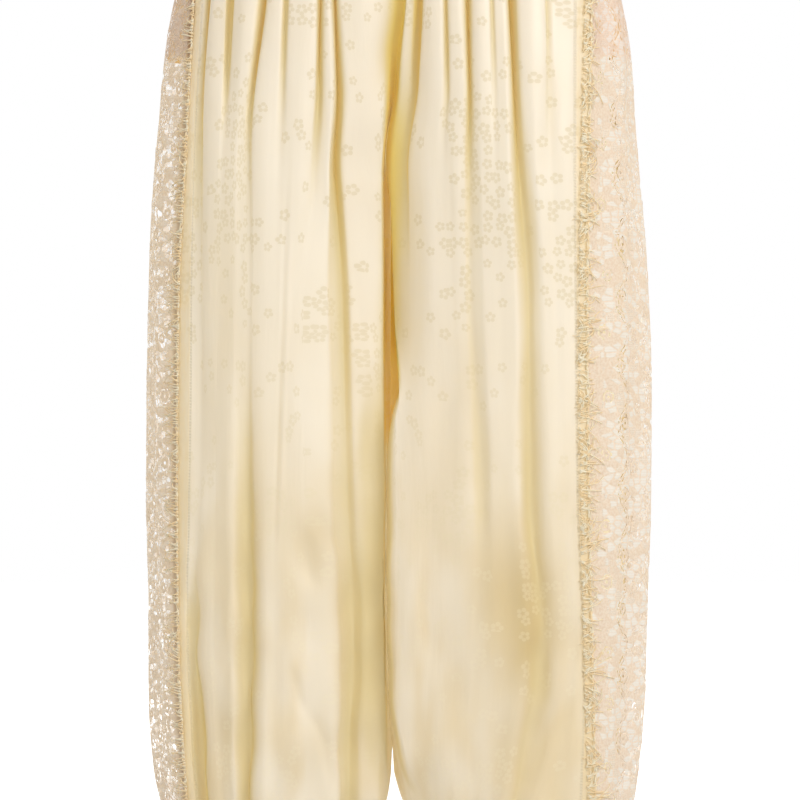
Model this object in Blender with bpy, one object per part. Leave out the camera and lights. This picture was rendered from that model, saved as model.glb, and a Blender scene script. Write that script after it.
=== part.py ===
"""Bloomer trousers of flowered satin, with a lace panel down each side and frayed seam edges.

The origin is the centre of the waistband's top edge, where the wearer holds the garment up.
The front faces -Y, the wearer's right leg lies at -X, and the hollow legs hang down -Z.
The tables are in millimetres, read down from the waist and out from the middle.
"""

import math
from collections import namedtuple

import bpy
import numpy as np

MM = 0.001
SIDES = {"right": -1, "left": 1}

# Driving sizes, in millimetres
WAISTBAND_HEIGHT = 38.0
CUFF_TOP = 990.0
LENGTH = 1025.0
CROTCH_TOP = 268.0
CROTCH = 352.0
LINING_LENGTH = 240.0
SATIN_WALL = 1.4
LACE_WALL = 1.2
LINING_WALL = 1.0
BAND_WALL = 3.0
SEAM_GAP = 0.3

# Between the crotch and the knees the legs press together along a slanted plane
PRESSED_GAP = 3.0
PRESSED_SLANT = 0.12
PRESSED_REACH = 60.0
PRESSED_END = 935.0
PRESSED_FADE = 75.0

# Sections of the trousers. right and left are the sides' distances from the middle, front and
# back the half depths, split the x of the plane between the legs, and closing says how far each
# leg's oval has parted from the other: 0 is one oval round both, 1 is two ovals that just touch.
Section = namedtuple("Section", "down right left front back split closing")
SECTIONS = (
    Section(0, 137, 137, 85, 85, 0, 0.0),
    Section(38, 138, 138, 86, 86, 0, 0.0),
    Section(62, 154, 154, 92, 94, 0, 0.05),
    Section(100, 178, 177, 100, 105, 2, 0.15),
    Section(185, 209, 208, 108, 117, 5, 0.42),
    Section(240, 219.5, 217, 111, 119, -1, 0.62),
    Section(300, 226, 220, 112, 118, -6, 0.79),
    Section(352, 230, 224, 111, 115, -9, 0.90),
    Section(420, 233, 230, 106, 108, -9, 0.93),
    Section(560, 234.5, 235.5, 100, 101, -9, 0.93),
    Section(650, 234.5, 235.5, 98, 99, -9, 0.93),
    Section(750, 232, 233, 96, 97, -9, 0.93),
    Section(840, 232, 231, 93, 97, -8, 0.94),
    Section(900, 228, 226, 89, 96, -6, 1.0),
    Section(935, 221, 221, 84, 93, -4, 1.07),
    Section(962, 204, 204, 74, 83, -2, 1.28),
    Section(980, 184, 184, 63, 66, 0, 1.7),
    Section(990, 169, 169, 53, 53, 0, 2.2),
    Section(1025, 169, 169, 53, 53, 0, 2.2),
)

# Folds, each a valley down a panel: its distance out from the middle and its depth at the
# stations. A broad fold has shoulders, part of the way up to the ridges beside it. Between
# the waistband and the first station, and below the last, it keeps its share of the way round.
STATIONS = (185, 330, 465, 650, 780, 935)
GATHER_DEPTH = 4.0
RIDGE_SHARE = 0.35
SHOULDER_PLACE = 0.45
SHOULDER_SHARE = 0.42
Fold = namedtuple("Fold", "out depth broad")
FRONT_FOLDS = {
    "right": (
        Fold((42, 31, 29, 25, 20, 20), (6, 3, 1, 1, 2, 5), False),
        Fold((61, 57, 52, 45, 35, 43), (13, 12, 8, 8, 11, 12), True),
        Fold((74, 68, 74, 76, 78, 81), (9, 4, 1, 1, 2, 3), False),
        Fold((107, 111, 110, 113, 116, 119), (6, 2, 1, 2, 5, 4), False),
        Fold((127, 141, 140, 140, 138, 140), (11, 4, 3, 9, 14, 13), True),
        Fold((158, 162, 166, 168, 170, 162), (7, 2, 1, 1, 3, 4), False),
        Fold((177, 185, 183, 186, 191, 183), (7, 4, 2, 2, 5, 10), False),
    ),
    "left": (
        Fold((25, 16, 18, 27, 24, 18), (11, 6, 1, 2, 4, 5), False),
        Fold((46, 49, 50, 50, 50, 44), (6, 3, 1, 1, 2, 3), False),
        Fold((65, 67, 68, 78, 75, 68), (10, 7, 5, 6, 3, 4), False),
        Fold((88, 92, 95, 99, 103, 86), (5, 2, 1, 1, 3, 5), False),
        Fold((106, 113, 122, 123, 138, 106), (13, 12, 10, 10, 12, 12), True),
        Fold((137, 141, 147, 150, 160, 146), (4, 2, 1, 1, 3, 7), False),
    ),
}
BACK_FOLDS = {
    "right": (
        Fold((40, 34, 36, 40, 36, 34), (10, 6, 4, 6, 8, 8), False),
        Fold((83, 86, 90, 86, 92, 96), (13, 9, 5, 4, 9, 11), True),
        Fold((124, 130, 128, 136, 140, 136), (11, 7, 6, 7, 10, 10), False),
        Fold((162, 170, 172, 175, 176, 170), (8, 4, 2, 3, 6, 8), False),
    ),
    "left": (
        Fold((44, 38, 33, 38, 42, 40), (11, 8, 5, 5, 6, 8), False),
        Fold((78, 82, 88, 92, 90, 92), (12, 9, 7, 7, 10, 11), True),
        Fold((120, 128, 134, 132, 130, 130), (11, 9, 5, 4, 9, 11), False),
        Fold((165, 176, 178, 180, 180, 172), (8, 5, 2, 3, 6, 8), False),
    ),
}
# The left leg's inner side hollows away from the right leg, down from the crotch
HOLLOW_MIDDLE = 455.0
HOLLOW_HALF = 75.0
HOLLOW_DEPTH = 13.0
# Where the lace meets the satin, at the same stations
LACE_EDGES = {
    ("right", "front"): (189, 196, 203, 204.5, 203.5, 196),
    ("right", "back"): (186, 198, 203, 205, 203, 195),
    ("left", "front"): (178, 175, 173.5, 175, 178, 182),
    ("left", "back"): (197, 208, 215, 216, 214, 206),
}
INNER_COLUMNS = 4

# Heights of the satin's rows
ROWS = (38, 62, 100, 145, 190, 235, 268, 305, 330, 345, 352, 385, 440, 500, 565, 630, 695, 755)
ROWS += (810, 860, 900, 935, 962, 980, 990)
LONG_ROW = 40.0

# The lace is laid out in cells, some with a hole. A repeat of hole sizes runs down the panel,
# as shares of the cell across and down, with 0 for a closed cell.
LACE_CELLS = 5
LACE_REPEAT = (
    (0.42, 0, 0.5, 0.36, 0),
    (0, 0.46, 0, 0, 0.42),
    (0.5, 0, 0.4, 0, 0.5),
    (0, 0.5, 0, 0.44, 0),
)
HOLE_SHIFT = 0.07
HOLE_LEAN = 0.2
LACE_WAVE = 2.5

# Frayed edge: locks of thread on a narrow strip, over the lace
STRIP_WIDTH = 3.0
STRIP_WALL = 1.0
LOCK_LENGTH = 9.0
LOCK_SPREAD = 2.5
LOCK_LIFT = 1.6
SHORT_ROW = 26.0

# Gathered elastic casings
BAND_GATHERS = 28
CUFF_GATHERS = 16
BAND_WAVE = 1.2


def along(places, values, place):
    """Value at a place of a smooth curve through the points, which never overshoots them."""
    if place <= places[0]:
        return values[0]
    if place >= places[-1]:
        return values[-1]
    step = next(i for i in range(len(places) - 1) if places[i + 1] >= place)
    run = places[step + 1] - places[step]
    slope = (values[step + 1] - values[step]) / run

    def tangent(knot):
        if knot == 0 or knot == len(places) - 1:
            return slope
        before = (values[knot] - values[knot - 1]) / (places[knot] - places[knot - 1])
        after = (values[knot + 1] - values[knot]) / (places[knot + 1] - places[knot])
        if before * after <= 0:
            return 0.0
        return 2 * before * after / (before + after)

    share = (place - places[step]) / run
    start, end = tangent(step) * run, tangent(step + 1) * run
    rise = values[step + 1] - values[step]
    return values[step] + share * (
        start + share * (3 * rise - 2 * start - end + share * (start + end - 2 * rise))
    )


def section(column, down):
    """One column of the table of sections, at a height between its rows."""
    return along([row.down for row in SECTIONS], [getattr(row, column) for row in SECTIONS], down)


def ramp(value, start, end):
    """0 before start, 1 after end, and a soft step between."""
    share = min(max((value - start) / (end - start), 0.0), 1.0)
    return share * share * (3 - 2 * share)


class Leg:
    """One leg's section at a height, seen from the plane between the legs."""

    def __init__(self, side, face, down):
        self.side, self.face, self.down = side, face, down
        self.sign = SIDES[side]
        self.split = section("split", down)
        width = abs(self.sign * section(side, down) - self.split)
        self.half = width / (1 + section("closing", down))
        self.centre = width - self.half
        self.depth = section(face, down)
        self.pressed = ramp(down, CROTCH_TOP, CROTCH)
        self.clear = SEAM_GAP / 2 + (PRESSED_GAP - SEAM_GAP) / 2 * self.pressed
        self.start = self.angle(self.clear)
        self.bend = self.depth * math.sin(self.start)

    def angle(self, out):
        """Angle round the oval, from its inner end, of a point so far out from the plane."""
        return math.acos(min(max((self.centre - out) / self.half, -1.0), 1.0))

    def seam(self):
        """Distance of the crotch seam or the inseam from the middle of the depth."""
        share = min(max((self.down - CROTCH_TOP) / (CROTCH - CROTCH_TOP), 0.0), 1.0)
        return max(self.bend * math.sqrt(1 - share * share), SEAM_GAP / 2)

    def place(self, out, deep, push=0.0, normal=(0.0, 0.0)):
        """World point of the section, pushed along its outward normal."""
        toward = -1 if self.face == "front" else 1
        y = toward * (deep + push * normal[1])
        out = out + push * normal[0]
        hold = self.pressed * (1 - ramp(self.down, PRESSED_END - PRESSED_FADE, PRESSED_END))
        slant = PRESSED_SLANT * y * hold * math.exp(-((out / PRESSED_REACH) ** 2))
        return (self.split + self.sign * out + slant, y, -self.down)

    def on_oval(self, angle, push=0.0):
        """Point at an angle round the oval."""
        out = self.centre - self.half * math.cos(angle)
        deep = self.depth * math.sin(angle)
        normal = (-math.cos(angle) / self.half, math.sin(angle) / self.depth)
        size = math.hypot(*normal)
        return self.place(out, deep, push, (normal[0] / size, normal[1] / size))

    def out_from(self, angle):
        """Level direction out of the oval."""
        level = (-self.sign * math.cos(angle) / self.half, math.sin(angle) / self.depth)
        size = math.hypot(*level)
        toward = -1 if self.face == "front" else 1
        return (level[0] / size, toward * level[1] / size, 0.0)

    def out_from_seam(self):
        """Level direction out of the centre seam or, where the legs press, toward the other leg."""
        free = self.out_from(self.start)
        pressed = (-self.sign, 0.0, 0.0)
        return tuple(a * (1 - self.pressed) + b * self.pressed for a, b in zip(free, pressed))

    def inner_part(self, first):
        """Points from the seam, along the pressed plane, and round to the first fold's angle."""
        flat = max(self.bend - self.seam(), 0.0)
        begin = max(self.start, math.asin(min(self.seam() / self.depth, 1.0)))
        round_length = (first - begin) * (self.half + self.depth) / 2
        hollow = 0.0
        if (self.side, self.face) == ("left", "front"):
            hollow = HOLLOW_DEPTH * math.exp(-(((self.down - HOLLOW_MIDDLE) / HOLLOW_HALF) ** 2))
        points = []
        for column in range(INNER_COLUMNS):
            walked = column / INNER_COLUMNS * (flat + round_length)
            away = hollow * math.sin(math.pi * column / INNER_COLUMNS)
            if walked < flat:
                above_crotch = self.down < CROTCH and column == 0
                out = SEAM_GAP / 2 if above_crotch else self.clear
                points.append(self.place(out + away, self.seam() + walked))
            else:
                angle = begin + (walked - flat) / round_length * (first - begin)
                points.append(self.on_oval(angle, -away))
        return points


def held_angle(side, face, outs, down):
    """Angle of a line down a panel. Past the outer stations it keeps its share of the way round."""
    held = min(max(down, STATIONS[0]), STATIONS[-1])
    leg = Leg(side, face, held)
    out = along(STATIONS, outs, held) - leg.sign * leg.split
    share = (leg.angle(out) - leg.start) / (math.pi - leg.start)
    here = Leg(side, face, down)
    return here.start + share * (math.pi - here.start)


def fold_depth(fold, down):
    """Depth of a fold: a small gather at the waist and the cuff, and the table's between."""
    places = (WAISTBAND_HEIGHT,) + STATIONS + (CUFF_TOP,)
    depths = (GATHER_DEPTH,) + fold.depth + (GATHER_DEPTH,)
    return along(places, depths, down)


def satin_row(side, face, folds, down):
    """Points of a satin panel at one height, from its seam out to the lace."""
    leg = Leg(side, face, down)
    edge = held_angle(side, face, LACE_EDGES[side, face], down)
    angles = [held_angle(side, face, fold.out, down) for fold in folds] + [edge]
    depths = [fold_depth(fold, down) for fold in folds] + [0.0]
    points = leg.inner_part(angles[0] - (angles[1] - angles[0]) / 2)
    ridges = [(a + b) / 2 for a, b in zip([2 * angles[0] - angles[1]] + angles, angles)]
    heights = [RIDGE_SHARE * (a + b) / 2 for a, b in zip([0.0] + depths, depths)]
    for i, fold in enumerate(folds):
        shoulders = [
            angles[i] + SHOULDER_PLACE * (ridge - angles[i]) for ridge in ridges[i : i + 2]
        ]
        points.append(leg.on_oval(ridges[i], heights[i]))
        if fold.broad:
            points.append(leg.on_oval(shoulders[0], -SHOULDER_SHARE * depths[i]))
        points.append(leg.on_oval(angles[i], -depths[i]))
        if fold.broad:
            points.append(leg.on_oval(shoulders[1], -SHOULDER_SHARE * depths[i]))
    points.append(leg.on_oval(ridges[-1], heights[-1]))
    points.append(leg.on_oval(edge - SEAM_GAP / 2 / leg.half))
    return points


def lace_row(side, down):
    """Points of a lace panel at one height, from its front edge round the side to the back."""
    front, back = Leg(side, "front", down), Leg(side, "back", down)
    edges = {face: held_angle(side, face, LACE_EDGES[side, face], down) for face in ("front", "back")}
    gap = SEAM_GAP / 2 / front.half
    start, end = edges["front"] + gap, 2 * math.pi - edges["back"] - gap
    points = []
    for column in range(LACE_CELLS + 1):
        angle = start + (end - start) * column / LACE_CELLS
        inside = 0 < column < LACE_CELLS
        push = LACE_WAVE * math.cos(math.pi * column + down / 150) * inside * ramp(down, 40, 150)
        if angle <= math.pi:
            points.append(front.on_oval(angle, push))
        else:
            points.append(back.on_oval(2 * math.pi - angle, push))
    return points


def wall_sides(rows, thickness, facing, ends, lift=0.0):
    """A grid's outer points, the same points moved in along its normals, and the normals.

    ends gives the level outward directions down the first and the last column, which the
    neighbours across the seams share.
    """
    outer = np.array(rows, float)
    across = np.gradient(outer, axis=1)
    downward = np.gradient(outer, axis=0)
    normals = np.cross(across, downward) * facing
    for column, level in zip((0, -1), ends):
        run = downward[:, column] / np.linalg.norm(downward[:, column], axis=1, keepdims=True)
        level = np.array(level)
        normals[:, column] = level - (level * run).sum(axis=1, keepdims=True) * run
    normals /= np.linalg.norm(normals, axis=2, keepdims=True)
    return outer + lift * normals, outer + (lift - thickness) * normals, normals


class Shape:
    """Points and triangles of one closed piece."""

    def __init__(self):
        self.points = []
        self.faces = []

    def add(self, points):
        first = len(self.points)
        self.points.extend(tuple(float(value) for value in point) for point in points)
        return list(range(first, len(self.points)))

    def quad(self, a, b, c, d):
        self.faces += [(a, b, c), (a, c, d)]

    def mesh(self, name):
        """The piece as a mesh in metres, facing out."""
        points = np.array(self.points) * MM
        faces = np.array(self.faces)
        corners = points[faces]
        if np.linalg.det(corners).sum() < 0:
            faces = faces[:, ::-1]
        mesh = bpy.data.meshes.new(name)
        mesh.from_pydata(points.tolist(), [], faces.tolist())
        mesh.validate()
        mesh.shade_smooth()
        mesh.set_sharp_from_angle(angle=math.radians(50))
        return mesh


def wall_shape(outer, inner, holes=None):
    """Closed wall between two grids. A hole is four shares across and down its cell."""
    shape = Shape()
    count_down, count_across = outer.shape[:2]
    top = [shape.add(row) for row in outer]
    under = [shape.add(row) for row in inner]
    for i in range(count_down - 1):
        for j in range(count_across - 1):
            ring = [(i, j), (i, j + 1), (i + 1, j + 1), (i + 1, j)]
            hole = holes(i, j) if holes else None
            upper = [top[a][b] for a, b in ring]
            lower = [under[a][b] for a, b in ring]
            if hole is None:
                shape.quad(*upper)
                shape.quad(*lower[::-1])
                shape.faces[-2:] = [(lower[2], lower[1], lower[0]), (lower[3], lower[2], lower[0])]
                continue
            rims = []
            for grid in (outer, inner):
                corners = [grid[a, b] for a, b in ring]
                rims.append(shape.add(between(corners, across, down) for across, down in hole))
            for k in range(4):
                after = (k + 1) % 4
                shape.quad(upper[k], upper[after], rims[0][after], rims[0][k])
                low = (lower[k], lower[after], rims[1][after], rims[1][k])
                shape.faces += [(low[2], low[1], low[0]), (low[3], low[2], low[0])]
                shape.quad(rims[0][k], rims[0][after], rims[1][after], rims[1][k])
    border = [(0, j) for j in range(count_across)]
    border += [(i, count_across - 1) for i in range(1, count_down)]
    border += [(count_down - 1, j) for j in range(count_across - 2, -1, -1)]
    border += [(i, 0) for i in range(count_down - 2, 0, -1)]
    for k, (i, j) in enumerate(border):
        a, b = border[(k + 1) % len(border)]
        shape.quad(top[a][b], top[i][j], under[i][j], under[a][b])
    return shape


def between(corners, across, down):
    """Point in a cell, from its four corners in order round it."""
    upper = corners[0] * (1 - across) + corners[1] * across
    lower = corners[3] * (1 - across) + corners[2] * across
    return upper * (1 - down) + lower * down


def lace_hole(i, j):
    """Corners of the hole in a lace cell, a leaning diamond, or None for a closed cell."""
    size = LACE_REPEAT[i % len(LACE_REPEAT)][j]
    if not size:
        return None
    across = 0.5 + HOLE_SHIFT * math.sin(2.3 * i + 1.7 * j)
    down = 0.5 + HOLE_SHIFT * math.cos(1.9 * i + 2.9 * j)
    lean = HOLE_LEAN * size * math.sin(i + 2 * j)
    half = size / 2
    return (
        (across - half, down - half + lean),
        (across + half - lean, down - half),
        (across + half, down + half - lean),
        (across - half + lean, down + half),
    )


def halved(grid, heights):
    """The grid with a row added in the middle of each long step down."""
    dense = [grid[0]]
    for i in range(1, len(grid)):
        if heights[i] - heights[i - 1] > LONG_ROW:
            dense.append((grid[i - 1] + grid[i]) / 2)
        dense.append(grid[i])
    return np.array(dense)


def finish(mesh, colour, roughness, metallic=0.0):
    """Object for a mesh, with a material of its own."""
    material = bpy.data.materials.new(mesh.name)
    material.use_nodes = True
    shader = material.node_tree.nodes["Principled BSDF"]
    shader.inputs["Base Color"].default_value = (*colour, 1.0)
    shader.inputs["Roughness"].default_value = roughness
    shader.inputs["Metallic"].default_value = metallic
    mesh.materials.append(material)
    piece = bpy.data.objects.new(mesh.name, mesh)
    bpy.context.scene.collection.objects.link(piece)
    return piece


def edge_out(side, face, down):
    """Level direction out of the seam of satin and lace."""
    angle = held_angle(side, face, LACE_EDGES[side, face], down)
    return Leg(side, face, down).out_from(angle)


def make_satin(side, face, folds, heights):
    rows = [satin_row(side, face, folds, down) for down in heights]
    facing = SIDES[side] * (-1 if face == "front" else 1)
    ends = (
        [Leg(side, face, down).out_from_seam() for down in heights],
        [edge_out(side, face, down) for down in heights],
    )
    outer, inner, _ = wall_sides(rows, SATIN_WALL, facing, ends)
    mesh = wall_shape(outer, inner).mesh(f"{face}_{side}")
    return finish(mesh, (0.86, 0.77, 0.57), 0.32)


def lace_sides(side, heights, thickness, lift=0.0):
    rows = [lace_row(side, down) for down in heights]
    ends = [[edge_out(side, face, down) for down in heights] for face in ("front", "back")]
    return wall_sides(rows, thickness, -SIDES[side], ends, lift)


def make_lace(side, heights):
    outer, inner, _ = lace_sides(side, heights, LACE_WALL)
    shape = wall_shape(halved(outer, heights), halved(inner, heights), lace_hole)
    return finish(shape.mesh(f"lace_{side}"), (0.72, 0.56, 0.42), 0.85)


def make_lining(side, heights):
    """Short panel behind the top of the lace, from the waistband down to the hip."""
    within = [down for down in heights if down < LINING_LENGTH] + [LINING_LENGTH]
    outer, inner, _ = lace_sides(side, within, LINING_WALL, -(LACE_WALL + 3 * SEAM_GAP))
    mesh = wall_shape(outer, inner).mesh(f"lining_{side}")
    return finish(mesh, (0.62, 0.44, 0.27), 0.7)


def make_fringe(side, face, heights):
    """Strip along a satin edge with locks of thread that lie over the lace."""
    outer, _, normals = lace_sides(side, heights, LACE_WALL)
    grid, normals = halved(outer, heights), halved(normals, heights)
    if face == "back":
        grid, normals = grid[:, ::-1], normals[:, ::-1]
    stations = []
    for i in range(len(grid) - 1):
        locks = 2 if grid[i, 0, 2] - grid[i + 1, 0, 2] > SHORT_ROW else 1
        stations += [(i, k / locks) for k in range(locks)]
    stations.append((len(grid) - 2, 1.0))
    shape = Shape()
    rings, outs, lifts = [], [], []
    for i, share in stations:
        edge = grid[i, 0] * (1 - share) + grid[i + 1, 0] * share
        toward = grid[i, 1] * (1 - share) + grid[i + 1, 1] * share - edge
        toward /= np.linalg.norm(toward)
        normal = normals[i, 0] * (1 - share) + normals[i + 1, 0] * share
        normal /= np.linalg.norm(normal)
        low, high = normal * SEAM_GAP * 1.3, normal * (SEAM_GAP * 1.3 + STRIP_WALL)
        far = edge + toward * STRIP_WIDTH
        rings.append(shape.add((edge + low, edge + high, far + high, far + low)))
        outs.append(toward)
        lifts.append(normal)
    shape.quad(*rings[0])
    shape.quad(*rings[-1][::-1])
    for i in range(len(rings) - 1):
        above, below = rings[i], rings[i + 1]
        for k in (0, 1, 3):
            after = (k + 1) % 4
            shape.quad(above[k], below[k], below[after], above[after])
        root = (above[2], below[2], below[3], above[3])
        centre = np.mean([shape.points[corner] for corner in root], axis=0)
        length = LOCK_LENGTH * (1 + 0.22 * math.sin(2.1 * i) + 0.12 * math.sin(5.3 * i))
        tip = centre + outs[i] * length + lifts[i] * LOCK_LIFT * (1 + 0.4 * math.cos(1.3 * i))
        tip = tip + np.array((0, 0, -1)) * LOCK_SPREAD * math.sin(0.9 * i + 1)
        point = shape.add([tip])[0]
        for k in range(4):
            shape.faces.append((root[k], root[(k + 1) % 4], point))
    return finish(shape.mesh(f"fringe_{face}_{side}"), (0.80, 0.68, 0.47), 0.6)


def make_band(name, centre, half, depth, top, bottom, gathers):
    """Gathered casing round elastic: a waved ring with a fuller middle."""
    middle = (top + bottom) / 2
    shape = Shape()
    rings = []
    levels = ((top, 0.0), (middle, 1.0), (bottom, 0.0))
    for inset, order in ((0.0, levels), (BAND_WALL, (levels[2], levels[0]))):
        for down, full in order:
            ring = []
            for step in range(2 * gathers):
                angle = math.pi * step / gathers
                wave = BAND_WAVE * (1 if step % 2 else -1) + full * BAND_WAVE
                if inset:
                    wave = 0.0
                ring.append(
                    (
                        centre + (half - inset - BAND_WAVE + wave) * math.cos(angle),
                        (depth - inset - BAND_WAVE + wave) * math.sin(angle),
                        -down,
                    )
                )
            rings.append(shape.add(ring))
    for i, ring in enumerate(rings):
        after = rings[(i + 1) % len(rings)]
        for step in range(len(ring)):
            following = (step + 1) % len(ring)
            shape.quad(ring[step], after[step], after[following], ring[following])
    return finish(shape.mesh(name), (0.84, 0.74, 0.54), 0.4)


def make_cuff(side, top):
    leg = Leg(side, "front", CUFF_TOP)
    centre = leg.split + leg.sign * leg.centre
    return make_band(f"cuff_{side}", centre, leg.half, leg.depth, top, LENGTH, CUFF_GATHERS)


def build():
    for piece in list(bpy.data.objects):
        bpy.data.objects.remove(piece)
    heights = list(ROWS)
    heights[0] = WAISTBAND_HEIGHT + SEAM_GAP
    heights[-1] = CUFF_TOP - SEAM_GAP
    hips = SECTIONS[0]
    make_band("waistband", 0, hips.right, hips.front, 0, WAISTBAND_HEIGHT, BAND_GATHERS)
    for side in SIDES:
        make_satin(side, "front", FRONT_FOLDS[side], heights)
        make_satin(side, "back", BACK_FOLDS[side], heights)
        make_lace(side, heights)
        make_lining(side, heights)
        make_cuff(side, CUFF_TOP)
        for face in ("front", "back"):
            make_fringe(side, face, heights)


build()
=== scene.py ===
"""Bloomer trousers of pale flowered satin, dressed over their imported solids.

The cloth's sizes are in millimetres, down from the waist and out from the middle. The materials,
the studio and the camera are in metres. The front faces -Y, and the wearer's right leg lies at
-X, so it is on the left of the picture.
"""

import itertools
import math
from collections import namedtuple

import bpy
import numpy as np
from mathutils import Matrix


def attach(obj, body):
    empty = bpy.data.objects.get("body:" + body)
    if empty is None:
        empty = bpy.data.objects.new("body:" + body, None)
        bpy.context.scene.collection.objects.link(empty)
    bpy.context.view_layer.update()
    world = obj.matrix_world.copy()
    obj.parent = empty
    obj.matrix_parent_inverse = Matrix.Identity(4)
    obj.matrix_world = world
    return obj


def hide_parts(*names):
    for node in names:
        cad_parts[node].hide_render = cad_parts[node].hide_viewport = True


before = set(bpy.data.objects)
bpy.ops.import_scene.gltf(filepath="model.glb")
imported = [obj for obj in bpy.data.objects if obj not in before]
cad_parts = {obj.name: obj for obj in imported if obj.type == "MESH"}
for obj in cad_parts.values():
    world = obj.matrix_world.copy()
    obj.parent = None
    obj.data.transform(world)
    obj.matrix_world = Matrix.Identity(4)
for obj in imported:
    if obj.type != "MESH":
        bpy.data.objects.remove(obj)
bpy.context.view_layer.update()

# The two front panels. Each is a wide straight piece of silk satin with woven blossoms,
# gathered into the waistband and the cuff, so it hangs in long uneven folds. The fronts are
# sewn together down the middle and to the backs round the inside of each leg.
MM = 0.001
SIDES = {"right": -1, "left": 1}
TOWARD = {"front": -1, "back": 1}
WAISTBAND_HEIGHT = 38.0
CUFF_TOP = 990.0
LENGTH = 1025.0
# Below the crotch the legs press against each other, a small gap apart and on a slant, until the
# cuffs draw them in
CROTCH_TOP = 268.0
CROTCH = 352.0
PRESSED_GAP = 3.0
PRESSED_SLANT = 0.12
PRESSED_REACH = 60.0
PRESSED_END = 935.0
PRESSED_FADE = 75.0

# Sections of the trousers, down from the waist: how far out each side is, the half depths, the x
# of the plane between the legs, and how far the legs' ovals have parted
SECTIONS = (
    (0, 137, 137, 85, 85, 0, 0.0),
    (38, 138, 138, 86, 86, 0, 0.0),
    (62, 154, 154, 92, 94, 0, 0.05),
    (100, 178, 177, 100, 105, 2, 0.15),
    (185, 209, 208, 108, 117, 5, 0.42),
    (240, 219.5, 217, 111, 119, -1, 0.62),
    (300, 226, 220, 112, 118, -6, 0.79),
    (352, 230, 224, 111, 115, -9, 0.90),
    (420, 233, 230, 106, 108, -9, 0.93),
    (560, 234.5, 235.5, 100, 101, -9, 0.93),
    (650, 234.5, 235.5, 98, 99, -9, 0.93),
    (750, 232, 233, 96, 97, -9, 0.93),
    (840, 232, 231, 93, 97, -8, 0.94),
    (900, 228, 226, 89, 96, -6, 1.0),
    (935, 221, 221, 84, 93, -4, 1.07),
    (962, 204, 204, 74, 83, -2, 1.28),
    (980, 184, 184, 63, 66, 0, 1.7),
    (990, 169, 169, 53, 53, 0, 2.2),
    (1025, 169, 169, 53, 53, 0, 2.2),
)
COLUMNS = ("down", "right", "left", "front", "back", "split", "parted")
SECTIONS = dict(zip(COLUMNS, zip(*SECTIONS)))

# Main folds, each a valley down a panel: its distance out and its depth at the stations, and
# which wall is the steep one, from -1 for the inner to 1 for the outer
STATIONS = (185, 330, 465, 650, 780, 935)
GATHER_DEPTH = 4.0
# A fold's section, between its valley and the ridges beside it: crisp at the top of the panel,
# where steep shoulders stand near the valley, and softer below. A lean moves the shoulders over.
RIDGE_SHARE = 0.35
CLOSE_FOLDS = 31.0
CRISP_FADE = {"front": (210, 400), "back": (230, 560)}
SHOULDER_PLACE = 0.46
SHOULDER_DROP = 0.55
CRISP_PLACE = 0.17
CRISP_DROP = 0.25
LEAN_REACH = 0.6
LEAN_DROP = 0.7
Fold = namedtuple("Fold", "out depth lean")
FRONT_FOLDS = {
    "right": (
        ((58, 48, 41, 36, 28, 38), (12, 12, 9, 9, 12, 13), -0.8),
        ((72, 72, 84, 82, 76, 80), (9, 4, 0, 0, 0, 1), 0.2),
        ((104, 108, 112, 112, 112, 115), (4, 1.5, 0.5, 1, 1.5, 2), -0.2),
        ((124, 138, 138, 139, 136, 139), (11, 4, 1.5, 7, 12, 12), -0.5),
        ((157, 162, 166, 168, 170, 162), (6, 1, 0.5, 0.5, 0.5, 1), 0.4),
        ((177, 185, 183, 186, 192, 185), (9, 5, 2, 1.5, 6, 11), -0.3),
    ),
    "left": (
        ((19, 13, 14, 22, 22, 18), (11, 5, 0.5, 0.5, 1, 1), 0.7),
        ((43, 45, 46, 48, 48, 44), (5, 2, 0.5, 0.5, 0.5, 1), 0.0),
        ((63, 66, 68, 76, 74, 66), (10, 6, 4, 4, 1, 1), -0.3),
        ((86, 90, 94, 98, 103, 86), (3, 1, 0.5, 0.5, 0.5, 1), 0.0),
        ((105, 111, 121, 123, 134, 108), (13, 11, 8, 8, 6, 5), 0.1),
        ((137, 141, 147, 150, 160, 146), (3, 1, 0.5, 0.5, 1, 3), 0.0),
    ),
}
# Where the satin's raw edge lies on the lace, at the same stations
LACE_EDGES = {
    ("right", "front"): (189, 196, 203, 204.5, 203.5, 196),
    ("right", "back"): (186, 198, 203, 205, 203, 195),
    ("left", "front"): (178, 175, 173.5, 175, 178, 182),
    ("left", "back"): (197, 208, 215, 216, 214, 206),
}
# The seam between the fronts sinks into a fold, soft on the right panel and steep on the left
SEAM_DIP = 13.0
SEAM_DIP_HALF = {"right": 15.0, "left": 7.0}
# Each front's inner edge is squared off over the fold between the legs: from so far out, which
# lessens lower down, the front runs on at a slope. It fades beside the edge, more so in the upper
# part, and by its depth, and starts below the top.
Square = namedtuple("Square", "out out_low slope edge_high edge deep top")
SQUARES = {
    "right": Square(38.0, 18.0, 0.32, (2.5, 6.5), (1.0, 5.0), (-2.0, -1.0), (225, 300)),
    "left": Square(66.0, 60.0, 0.26, (22.0, 44.0), (-4.0, 5.0), (28.0, 48.0), (300, 380)),
}
SQUARE_NARROWS = (480, 640)
SQUARE_END = (880, 960)
EDGE_LOWERS = (480, 580)
# The left leg's inner side hollows away from the right leg below the crotch
HOLLOW_MIDDLE = 470.0
HOLLOW_HALF = 78.0
HOLLOW_DEPTH = 33.0


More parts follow.
